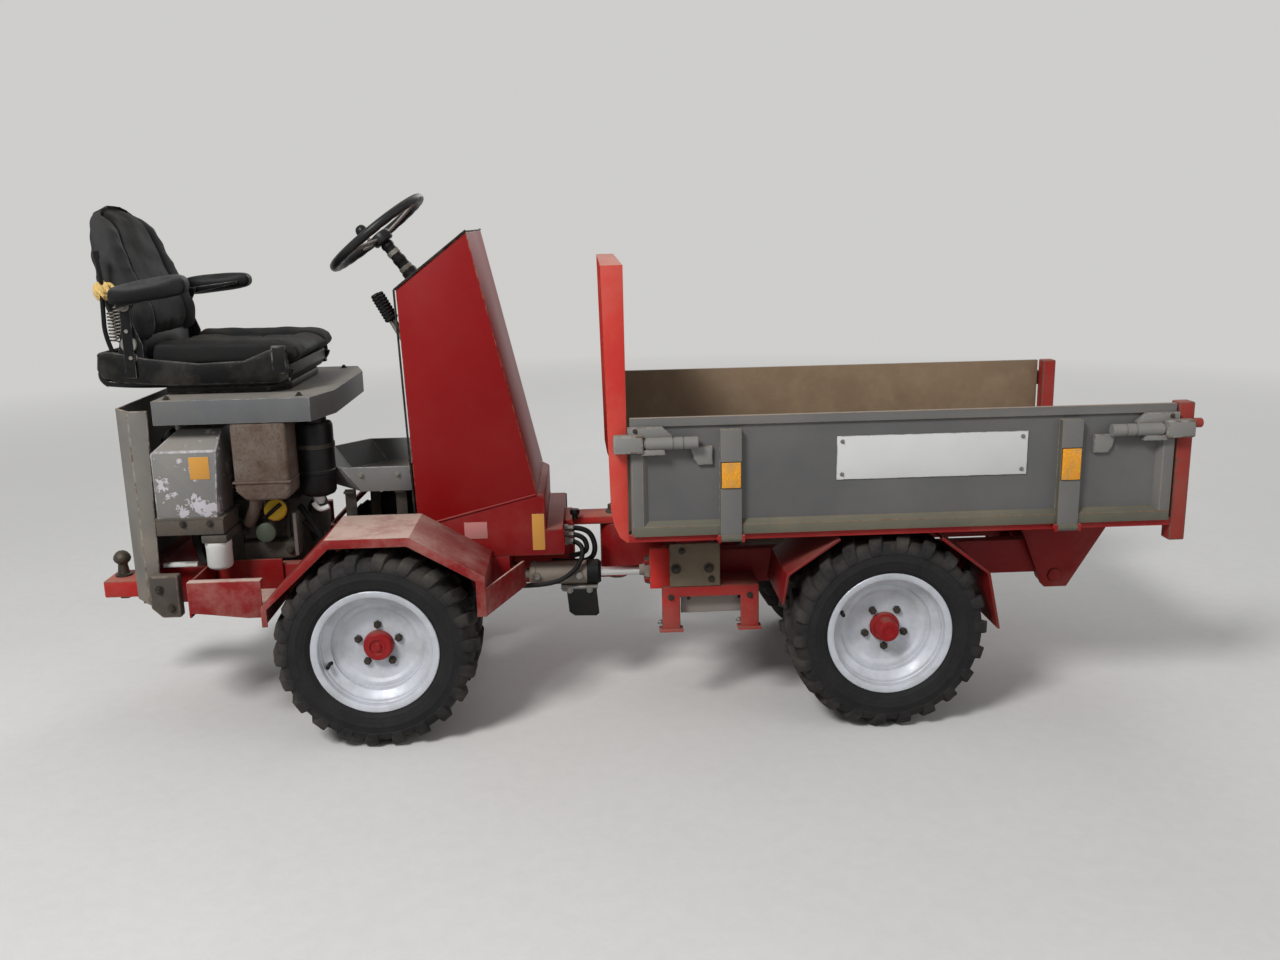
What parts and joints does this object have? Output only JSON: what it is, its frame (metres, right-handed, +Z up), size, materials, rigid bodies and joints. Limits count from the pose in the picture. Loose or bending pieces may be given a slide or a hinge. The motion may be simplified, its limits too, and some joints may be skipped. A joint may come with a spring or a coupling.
{
  "type": "site dumper",
  "caption": "Articulated four-wheel site dumper with a rear driver's seat, steering console and forward tipping bed with drop sides.",
  "frame": {"origin": "on the ground under the steering pivot, midway along the machine", "axes": "+X the way the driver looks, towards the load bed's open end; +Y to the driver's left; +Z up"},
  "size_m": [2.996, 1.01, 1.4502],
  "materials": {
    "red_paint": "worn gloss",
    "grey_paint": "worn satin",
    "black_steel": "dull, greasy",
    "dusty_steel": "dusty",
    "rust_brown": "rusty, dusty",
    "rim_silver": "satin",
    "tyre_rubber": "dusty",
    "seat_fabric": "worn weave",
    "black_plastic": "moulded",
    "rod_chrome": "polished",
    "belly_grey": "worn",
    "filter_white": "gloss"
  },
  "bodies": {
    "rear_chassis": {"rear_frame": "red_paint", "rear_sills": "red_paint", "rear_fenders": "red_paint", "tow_bar": "red_paint", "rear_guard": "grey_paint", "corner_blocks": "dusty_steel", "engine_block": "black_steel", "side_tanks": "grey_paint", "silencer": "rust_brown", "oil_filter": "filter_white", "seat_deck": "grey_paint", "seat_base": "black_steel", "seat_pan": "black_plastic", "seat_cushion": "seat_fabric", "seat_back": "seat_fabric", "armrests": "black_plastic", "console": "red_paint", "console_base": "red_paint", "steering_column": "black_steel", "control_levers": "black_plastic", "rear_axle": "black_steel", "pivot_yoke": "red_paint"},
    "steering_wheel": {"steering_wheel": "black_plastic"},
    "steer_barrel": {"steer_cylinder": "dusty_steel"},
    "steer_piston": {"steer_rod": "rod_chrome"},
    "front_chassis": {"pivot_tongue": "black_steel", "front_frame": "red_paint", "front_axle": "black_steel", "front_arches": "red_paint", "front_brackets": "red_paint", "side_plates": "dusty_steel", "hangers": "red_paint", "belly_plates": "belly_grey"},
    "tip_barrel": {"tip_cylinder": "black_steel"},
    "tip_piston": {"tip_rod": "rod_chrome"},
    "bed": {"bed_floor": "red_paint", "bed_hinge_plates": "red_paint", "headboard": "red_paint", "corner_posts": "red_paint"},
    "side_right": {"side_board_right": "grey_paint", "latches_right": "grey_paint"},
    "side_left": {"side_board_left": "grey_paint", "latches_left": "grey_paint"},
    "wheel_rear_right": {"tyre_rear_right": "tyre_rubber", "rim_rear_right": "rim_silver"},
    "wheel_rear_left": {"tyre_rear_left": "tyre_rubber", "rim_rear_left": "rim_silver"},
    "wheel_front_right": {"tyre_front_right": "tyre_rubber", "rim_front_right": "rim_silver"},
    "wheel_front_left": {"tyre_front_left": "tyre_rubber", "rim_front_left": "rim_silver"}
  },
  "joints": [
    {"name": "steer", "type": "hinge", "parent": "rear_chassis", "child": "front_chassis", "pos_m": [0, 0, 0.414], "axis": [0, 0, 1], "range_deg": [-35, 35]},
    {"name": "steering_wheel_turn", "type": "hinge", "parent": "rear_chassis", "child": "steering_wheel", "pos_m": [-0.64756, 0, 1.33594], "axis": [-0.6053, 0, 0.796], "continuous": true},
    {"name": "steer_barrel_swing", "type": "hinge", "parent": "rear_chassis", "child": "steer_barrel", "pos_m": [-0.282, -0.15, 0.372], "axis": [0, 0, 1], "range_deg": [-12, 12]},
    {"name": "steer_rod_slide", "type": "slide", "parent": "steer_barrel", "child": "steer_piston", "axis": [1, 0, 0], "range_m": [-0.1, 0.1]},
    {"name": "tip", "type": "hinge", "parent": "front_chassis", "child": "bed", "pos_m": [1.247, 0, 0.339], "axis": [0, 1, 0], "range_deg": [0, 50]},
    {"name": "tip_barrel_swing", "type": "hinge", "parent": "front_chassis", "child": "tip_barrel", "pos_m": [0.33, 0, 0.385], "axis": [0, -1, 0], "range_deg": [0, 20]},
    {"name": "tip_rod_slide", "type": "slide", "parent": "tip_barrel", "child": "tip_piston", "axis": [0.9859, 0, 0.1676], "range_m": [0, 0.36]},
    {"name": "side_right_drop", "type": "hinge", "parent": "bed", "child": "side_right", "pos_m": [0.735, -0.485, 0.552], "axis": [1, 0, 0], "range_deg": [0, 180]},
    {"name": "side_left_drop", "type": "hinge", "parent": "bed", "child": "side_left", "pos_m": [0.735, 0.485, 0.552], "axis": [-1, 0, 0], "range_deg": [0, 180]},
    {"name": "roll_rear_right", "type": "hinge", "parent": "rear_chassis", "child": "wheel_rear_right", "pos_m": [-0.648, -0.355, 0.268], "axis": [0, 1, 0], "continuous": true},
    {"name": "roll_rear_left", "type": "hinge", "parent": "rear_chassis", "child": "wheel_rear_left", "pos_m": [-0.648, 0.355, 0.268], "axis": [0, 1, 0], "continuous": true},
    {"name": "roll_front_right", "type": "hinge", "parent": "front_chassis", "child": "wheel_front_right", "pos_m": [0.712, -0.355, 0.268], "axis": [0, 1, 0], "continuous": true},
    {"name": "roll_front_left", "type": "hinge", "parent": "front_chassis", "child": "wheel_front_left", "pos_m": [0.712, 0.355, 0.268], "axis": [0, 1, 0], "continuous": true}
  ],
  "couplings": [
    {"joint": "steer_barrel_swing", "follows": "steer", "ratio": 0.21853},
    {"joint": "steer_rod_slide", "follows": "steer", "m_per_rad": 0.14563},
    {"joint": "tip_barrel_swing", "follows": "tip", "ratio": 0.31734},
    {"joint": "tip_rod_slide", "follows": "tip", "m_per_rad": 0.37026}
  ]
}
